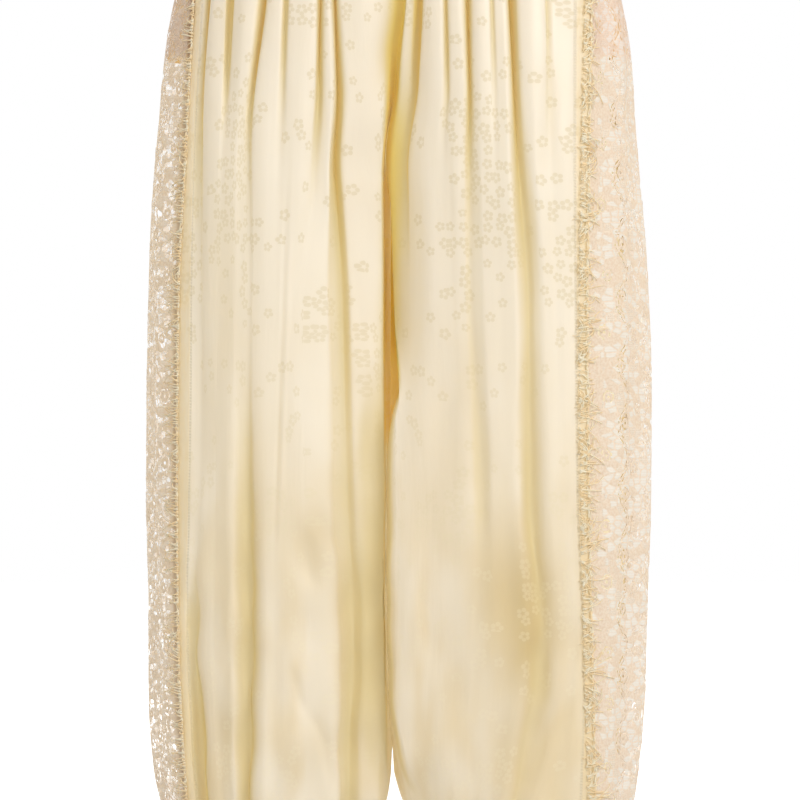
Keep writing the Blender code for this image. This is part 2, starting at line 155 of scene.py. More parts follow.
def along(places, values, place):
    """Values at the places of a smooth curve through the points, which never overshoots them."""
    places, values = np.array(places, float), np.array(values, float)
    runs = np.diff(places)
    slopes = np.diff(values) / runs
    before, after = slopes[:-1], slopes[1:]
    turning = before * after <= 0
    middle = np.where(turning, 0.0, 2 * before * after / np.where(turning, 1.0, before + after))
    tangents = np.concatenate((slopes[:1], middle, slopes[-1:]))
    place = np.clip(place, places[0], places[-1])
    step = np.clip(np.searchsorted(places, place) - 1, 0, len(runs) - 1)
    share = (place - places[step]) / runs[step]
    start, end = tangents[step] * runs[step], tangents[step + 1] * runs[step]
    rise = values[step + 1] - values[step]
    return values[step] + share * (
        start + share * (3 * rise - 2 * start - end + share * (start + end - 2 * rise))
    )


def section(column, down):
    """One column of the table of sections, at heights between its rows."""
    return along(SECTIONS["down"], SECTIONS[column], down)


def ramp(value, start, end):
    """0 before start, 1 after end, and a soft step between."""
    share = np.clip((value - start) / (end - start), 0.0, 1.0)
    return share * share * (3 - 2 * share)


def hill(off, half):
    """1 in the middle, where off is 0, and falling smoothly to 0 past the half width."""
    return np.exp(-((off / half) ** 2))


class Leg:
    """A leg's section at each height of a column of heights, seen from between the legs."""

    def __init__(self, side, face, down):
        self.side, self.face, self.down = side, face, np.reshape(down, (-1, 1)).astype(float)
        self.sign = SIDES[side]
        self.split = section("split", self.down)
        width = np.abs(self.sign * section(side, self.down) - self.split)
        self.half = width / (1 + section("parted", self.down))
        self.centre = width - self.half
        self.depth = section(face, self.down)
        self.pressed = ramp(self.down, CROTCH_TOP, CROTCH)
        self.clear = PRESSED_GAP / 2 * self.pressed
        self.start = self.angle(self.clear)
        self.bend = self.depth * np.sin(self.start)

    def angle(self, out):
        """Angle round the oval, from its inner end, of points so far out."""
        return np.arccos(np.clip((self.centre - out) / self.half, -1.0, 1.0))

    def seam(self):
        """Distance of the crotch seam or the inseam from the middle of the depth."""
        share = np.clip((self.down - CROTCH_TOP) / (CROTCH - CROTCH_TOP), 0.0, 1.0)
        return self.bend * np.sqrt(1 - share * share)

    def place(self, out, deep, push=0.0, normal=(0.0, 0.0)):
        """World points of the section, pushed along its outward normal."""
        y = TOWARD[self.face] * (deep + push * normal[1])
        out = out + push * normal[0]
        hold = self.pressed * (1 - ramp(self.down, PRESSED_END - PRESSED_FADE, PRESSED_END))
        slant = PRESSED_SLANT * y * hold * hill(out, PRESSED_REACH)
        x = self.split + self.sign * out + slant
        return np.stack((x, y, -self.down + 0 * x), axis=-1)

    def on_oval(self, angle, push=0.0):
        """Points at angles round the oval."""
        out = self.centre - self.half * np.cos(angle)
        deep = self.depth * np.sin(angle)
        normal = (-np.cos(angle) / self.half, np.sin(angle) / self.depth)
        size = np.hypot(*normal)
        return self.place(out, deep, push, (normal[0] / size, normal[1] / size))


def held_angle(side, face, outs, down):
    """Angle of a line down a panel. Past the outer stations it keeps its share of the way round."""
    held = np.clip(np.reshape(down, (-1, 1)), STATIONS[0], STATIONS[-1])
    leg = Leg(side, face, held)
    out = along(STATIONS, outs, held) - leg.sign * leg.split
    share = (leg.angle(out) - leg.start) / (math.pi - leg.start)
    here = Leg(side, face, down)
    return here.start + share * (math.pi - here.start)


def fold_depth(fold, down):
    """Depth of a fold: a small gather at the waist and the cuff, and the table's between."""
    places = (WAISTBAND_HEIGHT,) + STATIONS + (CUFF_TOP,)
    depths = (GATHER_DEPTH,) + fold.depth + (GATHER_DEPTH,)
    return along(places, depths, np.reshape(down, (-1, 1)))


# A panel's columns up to its first fold and from knot to knot, the sharp bottoms of its valleys,
# how its folds turn softer and deeper down the leg, where the seam's dip is full, and how the
# hollow and the rise to the first ridge lie across the inner part
INNER_COLUMNS = 14
FOLD_COLUMNS = 5
VALLEY_SHARE = 0.28
VALLEY_HALF = 3.2
SOFT_VALLEY = 0.15
SOFT_DOWN = (450, 620)
SOFT_TIMES = 16
SOFT_GROWTH = 0.45
SEAM_DIP_FULL = 150
HOLLOW_SKEW = 1.3
RISE_FROM = 0.7


def inner_part(leg, first, rise):
    """A panel's points from its seam round to the first fold."""
    share = np.arange(INNER_COLUMNS) / INNER_COLUMNS
    flat = np.maximum(leg.bend - leg.seam(), 0.0)
    begin = np.maximum(leg.start, np.arcsin(np.minimum(leg.seam() / leg.depth, 1.0)))
    round_length = (first - begin) * (leg.half + leg.depth) / 2
    hollow = 0.0
    if (leg.side, leg.face) == ("left", "front"):
        hollow = HOLLOW_DEPTH * hill(leg.down - HOLLOW_MIDDLE, HOLLOW_HALF)
    away = hollow * np.sin(math.pi * share**HOLLOW_SKEW) - rise * ramp(share, RISE_FROM, 1.0)
    walked = share * (flat + round_length)
    dip = SEAM_DIP * (leg.face == "front") * hill(walked, SEAM_DIP_HALF[leg.side])
    dip = dip * ramp(leg.down, WAISTBAND_HEIGHT, SEAM_DIP_FULL)
    dip = dip * (1 - ramp(leg.down, CROTCH_TOP, CROTCH))
    clear = leg.clear * np.where((leg.down < CROTCH) & (share == 0), 0.0, 1.0)
    pressed = leg.place(clear + away, leg.seam() + walked)
    rounded = leg.on_oval(begin + (walked - flat) / round_length * (first - begin), -away)
    points = np.where((walked < flat)[..., None], pressed, rounded)
    points[..., 1] += dip
    return points


def squared(leg, points):
    """A front panel with its inner edge squared off."""
    square = SQUARES[leg.side]
    out = leg.sign * (points[..., 0] - leg.split)
    reach = square.out + (square.out_low - square.out) * ramp(leg.down, *SQUARE_NARROWS)
    start = [np.interp(*row) for row in zip(reach[:, 0], out, points[..., 1])]
    level = np.array(start)[:, None] + square.slope * (reach - out)
    shift = np.maximum(points[..., 1] - level, 0) * (out < reach)
    lowered = ramp(leg.down, *EDGE_LOWERS)
    shift = shift * (ramp(out, *square.edge_high) * (1 - lowered) + ramp(out, *square.edge) * lowered)
    shift = shift * ramp(leg.down, *square.top) * (1 - ramp(leg.down, *SQUARE_END))
    shift = shift * ramp(-points[..., 1], *square.deep)
    points[..., 1] -= shift
    return points


def satin_points(side, face, folds, down):
    """A panel's points, in rows down and columns out to the lace."""
    leg = Leg(side, face, down)
    folds = list(itertools.starmap(Fold, folds))
    angles = [held_angle(side, face, fold.out, down) for fold in folds]
    angles.append(held_angle(side, face, LACE_EDGES[side, face], down))
    level = np.zeros_like(angles[0])
    growth = 1 + SOFT_GROWTH * ramp(leg.down, *SOFT_DOWN)
    depths = [fold_depth(fold, down) * growth for fold in folds] + [level]
    before = [2 * angles[0] - angles[1]] + angles
    ridges = [(a + b) / 2 for a, b in zip(before, angles)]
    gaps = [leg.half * (b - a) for a, b in zip(before, angles)]
    heights = [
        (a + b) / 2 * (RIDGE_SHARE - np.clip(1 - gap / CLOSE_FOLDS, 0, 1))
        for a, b, gap in zip([level] + depths, depths, gaps)
    ]
    knots, pushes = [], []
    crisp = 1 - ramp(leg.down, *CRISP_FADE[face])
    for i, fold in enumerate(folds):
        shoulders, dips = [], []
        for lean, ridge, height in zip((-fold.lean, fold.lean), ridges[i:], heights[i:]):
            place = (SHOULDER_PLACE - CRISP_PLACE * crisp) * (1 - LEAN_REACH * lean)
            shoulders.append(angles[i] + place * (ridge - angles[i]))
            drop = (SHOULDER_DROP - CRISP_DROP * crisp) * (1 - LEAN_DROP * max(lean, 0.0))
            dips.append(height - drop * (depths[i] + height))
        knots += [ridges[i], shoulders[0], angles[i], shoulders[1]]
        pushes += [heights[i], dips[0], -depths[i], dips[1]]
    knots = np.hstack(knots + [ridges[-1], angles[-1]])
    pushes = np.hstack(pushes + [heights[-1], level])
    columns = np.arange((knots.shape[1] - 1) * FOLD_COLUMNS + 1) / FOLD_COLUMNS
    angle = np.array([np.interp(columns, range(len(row)), row) for row in knots])
    mirrored = np.hstack((2 * knots[:, :1] - knots[:, 1:2], knots))
    values = np.hstack((pushes[:, 1:2], pushes))
    push = np.array([along(*row) for row in zip(mirrored, values, angle)])
    for fold_angle, depth in zip(angles, depths):
        off = (angle - fold_angle) * leg.half
        sharp = VALLEY_SHARE * (SOFT_VALLEY + (1 - SOFT_VALLEY) * crisp)
        push -= sharp * depth * hill(off, VALLEY_HALF)
    soft = push
    for _ in range(SOFT_TIMES):
        soft = blurred(soft)
    push += (soft - push) * ramp(leg.down, *SOFT_DOWN)
    points = np.hstack((inner_part(leg, knots[:, :1], pushes[:, :1]), leg.on_oval(angle, push)))
    return squared(leg, points) if face == "front" else points


def blurred(values):
    """A grid with each inner column blended with the two beside it."""
    blended = (values[:, :-2] + 2 * values[:, 1:-1] + values[:, 2:]) / 4
    return np.hstack((values[:, :1], blended, values[:, -1:]))


def unit(vectors):
    """The vectors, each made one long."""
    return vectors / np.maximum(np.linalg.norm(vectors, axis=-1, keepdims=True), 1e-9)


def normals_of(points, facing):
    """Outward normals of a grid of points."""
    return unit(np.cross(np.gradient(points, axis=1), np.gradient(points, axis=0)) * facing)


# Smaller creases, each a soft trough from one point to another, given out and down, or a ridge
# where its depth is below zero
Crease = namedtuple("Crease", "out down out_end down_end depth half")
FRONT_CREASES = {
    "right": (
        (84, 655, 50, 700, 1.6, 9),
        (99, 805, 86, 850, 1.6, 5),
        (82, 846, 62, 888, 1.8, 6),
        (70, 872, 58, 928, 1.6, 6),
        (90, 672, 74, 747, 1.5, 9),
        (160, 775, 176, 900, 2.0, 12),
        (178, 790, 190, 905, 1.6, 9),
        (186, 250, 188, 430, 0.8, 4),
        (101, 320, 115, 715, 0.8, 2.2),
        (97, 320, 111, 715, -0.7, 2.6),
        (150, 380, 165, 480, 0.8, 12),
        (120, 560, 128, 660, 0.9, 9),
    ),
    "left": (
        (121, 775, 138, 850, 1.8, 9),
        (145, 845, 112, 940, 2.4, 10),
        (73, 559, 80, 716, 1.6, 9),
        (32, 600, 66, 518, 1.4, 9),
        (20, 716, 32, 812, 1.4, 9),
        (100, 780, 94, 900, 1.0, 14),
        (150, 215, 126, 400, 1.3, 8),
        (126, 500, 108, 605, 1.2, 10),
        (60, 800, 52, 920, 1.0, 10),
        (36, 330, 38, 480, 0.7, 8),
    ),
}
# How the creases end, the slow waves of the whole panel, the dents where it is slack, and the fine
# gathers beside the casings. All fade at its long edges.
CREASE_ENDS = ((-0.1, 0.35), (0.65, 1.1))
SEAM_FADE = 10
CLOTH_WAVES = 7
WAVE_HEIGHT = 0.30
WAVE_WIDE = (30, 80)
WAVE_TALL = (120, 420)
SLACK_DOWN = (540, 760)
CREASE_GROWTH = 0.5
DENT_WAVES = 6
DENT_HEIGHT = 0.7
DENT_TURN = 1.2
DENT_LENGTH = (50, 110)
GATHERS = (11.0, 17.0, 26.0)
GATHER_HEIGHT = 1.1
GATHER_DRIFT = 0.4
GATHER_LESSENS = 0.5
WAISTBAND_REACH = 38
CUFF_REACH = 26


def crumpled(points, facing, side, creases, seed):
    """The panel with its smaller creases, slow dents, and fine gathers next to the casings."""
    out, down = SIDES[side] * points[..., 0], -points[..., 2]
    push = np.zeros_like(out)
    for crease in itertools.starmap(Crease, creases):
        run = np.array((crease.out_end - crease.out, crease.down_end - crease.down), float)
        length = np.hypot(*run)
        run /= length
        share = ((out - crease.out) * run[0] + (down - crease.down) * run[1]) / length
        off = (out - crease.out) * run[1] - (down - crease.down) * run[0]
        ends = ramp(share, *CREASE_ENDS[0]) * (1 - ramp(share, *CREASE_ENDS[1]))
        push -= crease.depth * ends * hill(off, crease.half)
    slack = ramp(down, *SLACK_DOWN)
    push *= 1 + CREASE_GROWTH * slack
    rng = np.random.default_rng(seed)
    for _ in range(CLOTH_WAVES):
        wide, tall = rng.uniform(*WAVE_WIDE), rng.uniform(*WAVE_TALL)
        phase, lean = rng.uniform(0, math.tau, 2)
        push += WAVE_HEIGHT * np.sin(math.tau * (out / wide + down / tall * np.cos(lean)) + phase)
    for _ in range(DENT_WAVES):
        turn, length = rng.uniform(-DENT_TURN, DENT_TURN), rng.uniform(*DENT_LENGTH)
        phase = rng.uniform(0, math.tau)
        place = out * math.cos(turn) + down * math.sin(turn)
        push += DENT_HEIGHT * slack * np.sin(math.tau * place / length + phase)
    share = np.linspace(0, 1, points.shape[1])
    near = np.exp((WAISTBAND_HEIGHT - down) / WAISTBAND_REACH) + np.exp((down - CUFF_TOP) / CUFF_REACH)
    for i, count in enumerate(GATHERS):
        place = count * share + GATHER_DRIFT * np.sin(7 * share + i)
        wave = np.sin(math.tau * place + seed + i)
        push += GATHER_HEIGHT * near * wave / (1 + GATHER_LESSENS * i)
    columns = np.arange(points.shape[1])
    push *= np.clip(columns / SEAM_FADE, 0, 1) * np.clip((columns[-1] - columns) / SEAM_FADE, 0, 1)
    return points + push[..., None] * normals_of(points, facing)


# How far off other cloth still shuts a point in, the least distance that counts, and how often
# the values are blended
SHUT_REACH = 32.0
SHUT_NEAR = 0.3
SHUT_BLUR = 2


def shut_in(points, face):
    """How far cloth beside each point of a level cut shuts it in: 0 in the open, 1 closed up."""
    shut = np.zeros(points.shape[:2])
    for row, (out, deep) in enumerate(zip(points[..., 0], TOWARD[face] * points[..., 1])):
        across = out - out[:, None]
        slope = np.arctan2(deep - deep[:, None], np.abs(across) + SHUT_NEAR)
        slope[np.abs(across) > SHUT_REACH] = -1.0
        before = np.where(across < 0, slope, -1.0).max(axis=1)
        after = np.where(across > 0, slope, -1.0).max(axis=1)
        shut[row] = np.clip((before + after) / math.pi, 0, 1)
    for _ in range(SHUT_BLUR):
        shut = blurred(blurred(shut.T).T)
    return shut


def laid_flat(points):
    """Places of a grid's points on the flat cut, in metres across and down."""
    across = np.linalg.norm(np.diff(points, axis=1), axis=2)
    widest = across[across.sum(axis=1).argmax()]
    across = np.concatenate(((0.0,), np.cumsum(widest)))
    middle = points[:, points.shape[1] // 2]
    down = np.concatenate(((0.0,), np.cumsum(np.linalg.norm(np.diff(middle, axis=0), axis=1))))
    return np.stack(np.broadcast_arrays(across, down[:, None]), axis=-1) * MM


def added(name, data):
    """A new object in the scene."""
    piece = bpy.data.objects.new(name, data)
    bpy.context.scene.collection.objects.link(piece)
    return piece


def cloth(name, node, points, faces, flat, finish, values=()):
    """Piece made of a mesh in millimetres, with places on the flat cut and values at its points."""
    mesh = bpy.data.meshes.new(name)
    mesh.from_pydata(np.reshape(points, (-1, 3)) * MM, [], faces)
    mesh.shade_smooth()
    if flat is not None:
        corners = np.empty(len(mesh.loops), np.int32)
        mesh.loops.foreach_get("vertex_index", corners)
        layer = mesh.uv_layers.new(name="flat")
        layer.uv.foreach_set("vector", np.float32(np.reshape(flat, (-1, 2))[corners]).ravel())
    for title, value in dict(values).items():
        layer = mesh.attributes.new(title, "FLOAT", "POINT")
        layer.data.foreach_set("value", np.float32(value).ravel())
    mesh.materials.append(finish)
    piece = added(name, mesh)
    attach(piece, "root")
    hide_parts(node)
    return piece


def grid_faces(rows, columns, facing):
    """Quads of a grid, facing out."""
    index = np.arange(rows * columns).reshape(rows, columns)
    quads = np.stack((index[:-1, :-1], index[:-1, 1:], index[1:, 1:], index[1:, :-1]), axis=-1)
    quads = quads.reshape(-1, 4)
    return quads if facing > 0 else quads[:, ::-1]


class Shade:
    """A value or colour in a material. Arithmetic on it adds Math nodes."""

    def __init__(self, tree, socket=None):
        self.tree = tree
        self.socket = socket

    def node(self, kind, settings=(), sockets=(), output=0):
        """Any other node: its settings, then the values or links of its sockets."""
        made = self.tree.nodes.new(kind)
        for name, value in dict(settings).items():
            setattr(made, name, value)
        for name, value in dict(sockets).items():
            if isinstance(value, Shade):
                self.tree.links.new(value.socket, made.inputs[name])
            else:
                made.inputs[name].default_value = value
        return Shade(self.tree, made.outputs[output] if made.outputs else None)

    def other(self, output):
        """Another output of the same node."""
        return Shade(self.tree, self.socket.node.outputs[output])

    def maths(self, operation, *values):
        return self.node("ShaderNodeMath", {"operation": operation}, dict(enumerate(values)))

    def step(self, low, high):
        """0 below low, 1 above high, and a soft step between."""
        sockets = {"Value": self, "From Min": low, "From Max": high}
        return self.node("ShaderNodeMapRange", {"interpolation_type": "SMOOTHSTEP"}, sockets)

    def mix(self, first, second):
        """Colour between two, by this value."""
        return self.node("ShaderNodeMix", {"data_type": "RGBA"}, {0: self, 6: first, 7: second}, 2)

    def __add__(self, other):
        return self.maths("ADD", self, other)

    def __sub__(self, other):
        return self.maths("SUBTRACT", self, other)

    def __rsub__(self, other):
        return self.maths("SUBTRACT", other, self)

    def __mul__(self, other):
        return self.maths("MULTIPLY", self, other)

    def __truediv__(self, other):
        return self.maths("DIVIDE", self, other)

    __radd__ = __add__
    __rmul__ = __mul__


def new_finish(name):
    """A material and a start for its nodes."""
    material = bpy.data.materials.new(name)
    material.use_nodes = True
    material.node_tree.nodes.clear()
    return material, Shade(material.node_tree)


def thin_cloth(shade, surface, shine_through, tint, gaps=None):
    """Cloth that some light passes through, with gaps where it is see-through."""
    front = shade.node("ShaderNodeBsdfPrincipled", {}, surface)
    glow = shade.node("ShaderNodeBsdfTranslucent", {}, {"Color": (*tint, 1.0)})
    cloth_look = shade.node("ShaderNodeMixShader", {}, {0: shine_through, 1: front, 2: glow})
    if gaps is not None:
        clear = shade.node("ShaderNodeBsdfTransparent")
        cloth_look = shade.node("ShaderNodeMixShader", {}, {0: gaps, 1: cloth_look, 2: clear})
    shade.node("ShaderNodeOutputMaterial", {}, {"Surface": cloth_look})


def colour(red, green, blue):
    """A colour from the values that a screen shows, 0 to 255."""
    values = [value / 255 for value in (red, green, blue)]
    return (*[v / 12.92 if v <= 0.04045 else ((v + 0.055) / 1.055) ** 2.4 for v in values], 1.0)


def carried(shade, name):
    """A value that the mesh carries at its points."""
    return shade.node("ShaderNodeAttribute", {"attribute_name": name}, {}, "Fac")


def coordinate(place, axis):
    """One coordinate of a place."""
    return place.node("ShaderNodeSeparateXYZ", {}, {0: place}).other(axis)


def noise(place, scale, detail=2.0):
    """Noise over the flat cut. Two scales are those across and down."""
    if isinstance(scale, tuple):
        place = place.node("ShaderNodeMapping", {}, {"Vector": place, "Scale": (*scale, 1.0)})
        scale = 1.0
    sockets = {"Vector": place, "Scale": scale, "Detail": detail}
    return place.node("ShaderNodeTexNoise", {"noise_dimensions": "2D"}, sockets)


def bumps(height, strength, distance):
    """Normals that follow a height."""
    sockets = {"Height": height, "Strength": strength, "Distance": distance}
    return height.node("ShaderNodeBump", {}, sockets)


# The woven blossoms, and the stitched line beside each raw edge. The value near_edge counts
# millimetres toward the raw edge, from 0 where it is as far in as the reach.
BLOSSOM_PITCH = 0.0118
BLOSSOM_RADIUS = 0.0038
PETAL_RADIUS = 0.0026
CLUSTER_SIZE = 0.085
EDGE_REACH = 20.0
SEAM_IN = 11.0
STITCH = 0.0028


def blossoms(shade, place):
    """1 on the petals of five-petalled blossoms, woven in clusters with single ones between."""
    pitch = {"Vector": place, "Scale": 1 / BLOSSOM_PITCH, "Randomness": 0.62}
    spot = shade.node("ShaderNodeTexVoronoi", {"voronoi_dimensions": "2D"}, pitch, "Position")
    chance = shade.node("ShaderNodeSeparateColor", {}, {0: spot.other("Color")})
    local = shade.node("ShaderNodeVectorMath", {"operation": "SUBTRACT"}, {0: place, 1: spot})
    reach = shade.node("ShaderNodeVectorMath", {"operation": "LENGTH"}, {0: local}, "Value")
    turn = shade.maths("ARCTAN2", coordinate(local, "Y"), coordinate(local, "X")) / math.tau + chance
    off_petal = (shade.maths("FRACT", turn * 5) - 0.5) * (math.tau / 5)
    size = 0.72 + 0.33 * chance.other("Green")
    radius = BLOSSOM_RADIUS * size
    beside = shade.maths("COSINE", off_petal)
    away = reach * reach + radius * radius - 2 * reach * radius * beside
    petal = 1 - (shade.maths("SQRT", away) / size).step(PETAL_RADIUS * 0.65, PETAL_RADIUS)
    shown = 0.16 + 0.84 * noise(spot, 1 / CLUSTER_SIZE, 1.0).step(0.52, 0.66)
    return petal * shade.maths("GREATER_THAN", shown, chance.other("Blue"))


def satin():
    """Silk satin: a soft sheen on the ground, blossoms that look matt, and painted shade in its
    hollows.
    """
    material, shade = new_finish("flowered_satin")
    place = shade.node("ShaderNodeUVMap", {"uv_map": "flat"})
    shut, gold_shade = carried(shade, "shut"), carried(shade, "gold_shade")
    patch_shade, near_edge = carried(shade, "patch_shade"), carried(shade, "near_edge")
    figure = blossoms(shade, place)
    down = coordinate(place, "Y")
    low = down.step(0.38, 0.86)
    broad = noise(place, (16.0, 7.0))
    tone = noise(place, 14.0).mix(colour(250, 241, 227), colour(254, 248, 238))
    # Painted shade: the ground darker and yellower in broad uneven patches lower down the panel
    tone = (low * (0.15 + 0.65 * broad.step(0.35, 0.68))).mix(tone, colour(234, 214, 178))
    # Painted shade in the listed broad patches, a little uneven
    tone = (patch_shade * (0.7 + 0.5 * broad)).mix(tone, colour(206, 182, 134))
    # The woven blossoms are the cloth's own pattern, with painted light and shade: darker than the
    # ground at the top, lighter and fainter lower down.
    woven = low.mix(colour(222, 209, 178), colour(252, 243, 220))
    tone = ((0.50 - 0.24 * low) * figure).mix(tone, woven)
    selvage = near_edge.step(EDGE_REACH - SEAM_IN - 0.5, EDGE_REACH - SEAM_IN + 2)
    streak = noise(place, (400.0, 60.0))
    tone = (selvage * (0.1 + 0.6 * streak)).mix(tone, colour(248, 222, 172))
    seam = 1 - shade.maths("ABSOLUTE", near_edge - (EDGE_REACH - SEAM_IN)).step(0.5, 1.6)
    tone = (0.35 * seam).mix(tone, colour(196, 186, 168))
    # Painted shade: darker and yellower where other cloth shuts the satin in, in its folds and between
    # the legs
    tone = shut.step(0.08, 0.50).mix(tone, colour(222, 205, 156))
    tone = shut.step(0.42, 0.82).mix(tone, colour(234, 202, 104))
    # Painted shade, deep gold, in the cleft between the legs and on the hollow's walls. The same
    # values make the satin there more metallic and let less light through it.
    tone = gold_shade.mix(tone, colour(255, 225, 6))
    stitch = 0.6 + 0.4 * shade.maths("SINE", down * (math.tau / STITCH))
    crinkle = noise(place, (120.0, 22.0), 3.0)
    relief = 0.12 * noise(place, 900.0, 1.0) + 0.9 * crinkle - seam * stitch
    surface = {
        "Base Color": tone,
        "Roughness": 0.48 + 0.2 * figure,
        "Metallic": 0.08 - 0.08 * figure + 0.30 * gold_shade,
        "Normal": bumps(relief, 0.9, 0.0005),
        "Specular IOR Level": 0.35,
        "Sheen Weight": 0.05,
    }
    thin_cloth(shade, surface, 0.34 - 0.08 * shut.step(0.5, 0.85) - 0.16 * gold_shade, (0.97, 0.90, 0.66))
    return material


# Broad patches of painted shade on the satin, each out and down from the middle of the waist, with
# its half sizes
Spot = namedtuple("Spot", "out down wide tall strength")
SHADE_SPOTS = {
    "front": {
        "right": (
            (76, 700, 20, 45, 0.55),
            (139, 740, 11, 130, 0.85),
            (160, 866, 14, 28, 0.40),
            (42, 770, 13, 130, 0.55),
            (182, 840, 16, 90, 0.30),
            (160, 470, 20, 120, 0.25),
            (70, 880, 26, 30, 0.30),
        ),
        "left": (
            (122, 785, 28, 85, 0.95),
            (130, 730, 30, 75, 0.32),
            (84, 735, 20, 55, 0.45),
            (64, 560, 14, 60, 0.25),
            (112, 890, 22, 30, 0.40),
            (128, 600, 10, 80, 0.35),
            (40, 860, 16, 50, 0.20),
        ),
    },
    "back": {
        "right": ((70, 690, 24, 90, 0.5), (140, 820, 26, 70, 0.6), (100, 500, 20, 80, 0.3)),
        "left": ((60, 770, 22, 80, 0.6), (130, 700, 24, 90, 0.5), (90, 480, 18, 70, 0.3)),
    },
}


def spot_shade(spot, sign, points):
    """How much painted shade a spot gives each point: its strength in the middle, and 0 away from it.
    """
    out, down = sign * points[..., 0], -points[..., 2]
    return spot.strength * hill(out - spot.out, spot.wide) * hill(down - spot.down, spot.tall)


# The panels' rows stand closer together where the cuffs draw them in
DRAWN_IN = 900
ROWS = np.linspace(WAISTBAND_HEIGHT - 1, DRAWN_IN, 200)
ROWS = np.concatenate((ROWS, np.linspace(DRAWN_IN, CUFF_TOP + 1, 41)[1:]))
# Cloth counts as shut in only deep between the legs and in the hollow. Painted gold shade goes where
# it is shut in near the plane between them, and on the hollow's walls. Each pair is a ramp's start and
# end.
SHUT_DEEP = (28, 50)
GOLD_SHADE_DEEP = (40, 60)
GOLD_SHADE_SHUT = (0.24, 0.52)
GOLD_SHADE_NEAR = (9, 17)
GOLD_SHADE_OPEN = 0.5
GOLD_SHADE_FADE = {"right": 1.0, "left": 0.7}
GOLD_SHADE_ENDS = {"right": (290, 370), "left": (520, 600)}
WALLS_SEEN = (110, 155)
WALLS_NEAR = (14, 22)
WALLS_FRONT = -52
WALLS_BACK = 26


def gold_shade_of(side, face, points, shut, in_hollow):
    """How much painted shade, deep yellow, the satin gets at each point."""
    off, down = np.abs(points[..., 1]), -points[..., 2]
    between = np.abs(points[..., 0] - Leg(side, face, ROWS).split)
    deep = np.maximum(ramp(off, *GOLD_SHADE_DEEP), in_hollow)
    gold_shade = GOLD_SHADE_OPEN * ramp(shut, *GOLD_SHADE_SHUT) * (1 - ramp(between, *GOLD_SHADE_NEAR)) * deep
    gold_shade *= 1 - GOLD_SHADE_FADE[side] * ramp(down, *GOLD_SHADE_ENDS[side])
    in_view = 1 - ramp(np.abs(down - HOLLOW_MIDDLE), *WALLS_SEEN)
    walls = (points[..., 1] > WALLS_FRONT) * (points[..., 1] < WALLS_BACK)
    return np.maximum(gold_shade, in_view * walls * (1 - ramp(between, *WALLS_NEAR)))


SATIN = satin()


def make_satins(face, folds, creases, seed):
    """The two satin panels of the front or the back, which hang from the waistband."""
    facings = {side: sign * TOWARD[face] for side, sign in SIDES.items()}
    panels = {}
    for number, side in enumerate(SIDES):
        points = satin_points(side, face, folds[side], ROWS)
        panels[side] = crumpled(points, facings[side], side, creases[side], seed + number)
    middle = panels["right"].shape[1]
    shut = shut_in(np.hstack((panels["right"][:, ::-1], panels["left"])), face)
    shut = {"right": shut[:, :middle][:, ::-1], "left": shut[:, middle:]}
    for side, points in panels.items():
        flat = laid_flat(points)
        in_hollow = hill(-points[..., 2] - HOLLOW_MIDDLE, HOLLOW_HALF) * (face == "front")
        shut_here = shut[side] * np.maximum(ramp(np.abs(points[..., 1]), *SHUT_DEEP), in_hollow)
        values = {
            "shut": shut_here,
            "gold_shade": gold_shade_of(side, face, points, shut_here, in_hollow),
            "near_edge": np.maximum(EDGE_REACH - (flat[:, -1:, 0] - flat[..., 0]) / MM, 0.0),
            "patch_shade": sum(spot_shade(Spot(*row), SIDES[side], points) for row in SHADE_SPOTS[face][side]),
        }
        name, faces = f"satin_{face}_{side}", grid_faces(*points.shape[:2], facings[side])
        piece = cloth(name, f"{face}_{side}", points, faces, flat, SATIN, values)


make_satins("front", FRONT_FOLDS, FRONT_CREASES, 11)

# The two back panels, cut and gathered as the fronts are but fuller, with a longer crotch seam.
# Their folds are wider and fewer, because the seat fills them out.
BACK_FOLDS = {
    "right": (
        ((36, 31, 38, 46, 44, 38), (12, 8, 2, 5, 9, 9), 0.3),
        ((63, 66, 62, 66, 70, 68), (6, 3, 6, 4, 1, 4), -0.4),
        ((96, 104, 112, 106, 98, 102), (13, 12, 9, 5, 8, 12), -0.5),
        ((128, 134, 136, 142, 150, 142), (5, 1, 3, 9, 12, 11), 0.4),
        ((168, 176, 180, 176, 176, 172), (10, 8, 3, 1, 3, 8), 0.2),
    ),
    "left": (
        ((30, 24, 30, 36, 32, 34), (9, 9, 6, 2, 5, 8), -0.3),
        ((58, 62, 70, 72, 74, 70), (13, 10, 9, 9, 11, 12), 0.4),
        ((88, 90, 97, 104, 108, 100), (4, 3, 1, 3, 5, 4), 0.0),
        ((122, 132, 138, 134, 130, 130), (12, 11, 7, 3, 8, 12), -0.5),
        ((168, 172, 174, 176, 182, 176), (9, 4, 5, 8, 7, 9), 0.3),
    ),
}
BACK_CREASES = {
    "right": (
        (60, 560, 66, 720, 2.0, 9),
        (112, 620, 104, 800, 1.8, 8),
        (58, 790, 66, 930, 2.2, 7),
        (118, 800, 108, 920, 2.0, 6),
        (150, 240, 152, 470, 1.4, 9),
        (62, 220, 60, 380, 1.6, 8),
        (158, 700, 152, 880, 1.4, 7),
    ),
    "left": (
        (62, 500, 58, 700, 1.8, 8),
        (110, 580, 116, 760, 2.0, 9),
        (66, 780, 58, 930, 2.0, 6),
        (108, 820, 118, 930, 2.2, 7),
        (148, 260, 156, 500, 1.4, 9),
        (60, 230, 62, 400, 1.4, 8),
        (154, 660, 160, 860, 1.6, 8),
    ),
}
make_satins("back", BACK_FOLDS, BACK_CREASES, 21)

